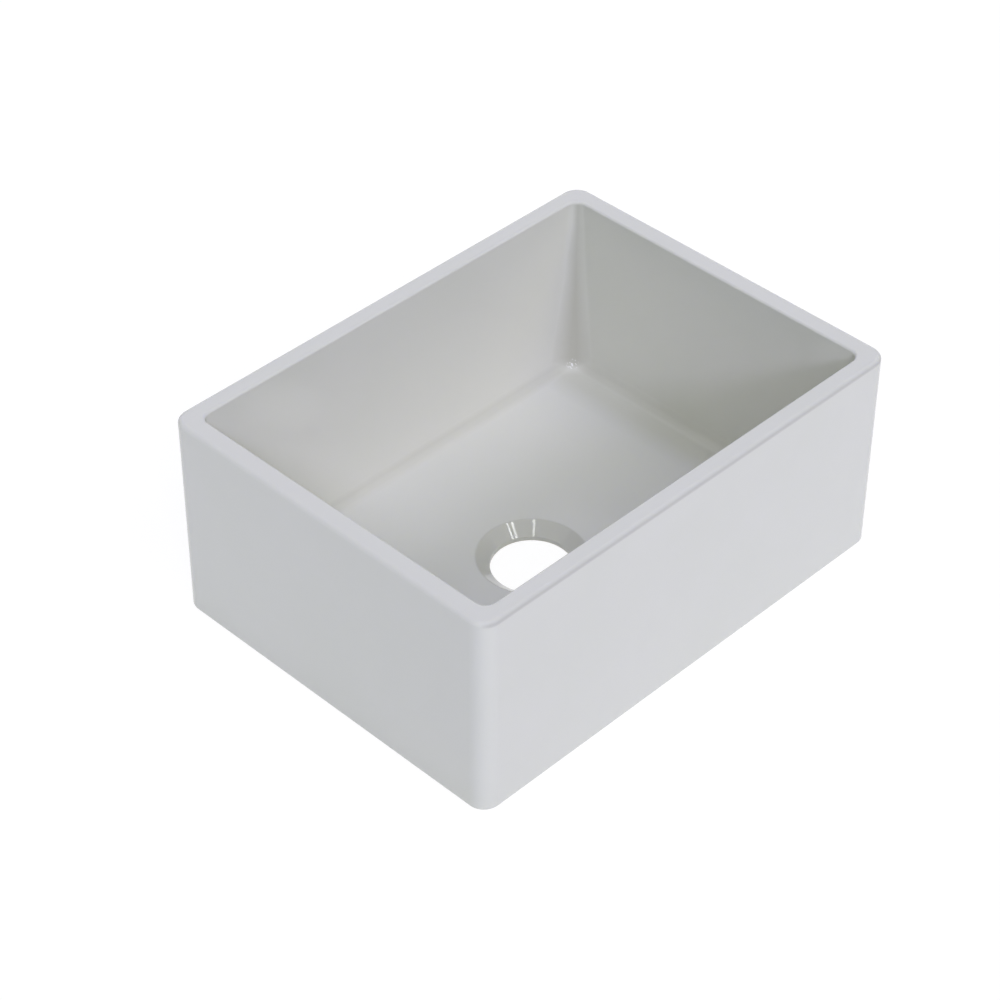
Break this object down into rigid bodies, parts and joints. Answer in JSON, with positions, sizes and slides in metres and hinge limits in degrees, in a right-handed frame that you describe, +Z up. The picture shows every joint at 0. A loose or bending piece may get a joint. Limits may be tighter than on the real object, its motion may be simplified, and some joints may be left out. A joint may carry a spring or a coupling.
{
  "type": "kitchen sink",
  "caption": "Plain-front fireclay kitchen sink: one deep rectangular bowl with thick flat-topped walls, a floor falling to a central waste hole with a tapered seat.",
  "frame": {"origin": "centre of the base, on the surface that carries the sink", "axes": "+X along the front, +Y from the front face to the back, +Z up out of the bowl"},
  "size_m": [0.6, 0.45, 0.25],
  "materials": {
    "glazed_fireclay": "smooth glossy white glaze"
  },
  "bodies": {
    "root": {"sink_bowl": "glazed_fireclay"}
  },
  "joints": []
}
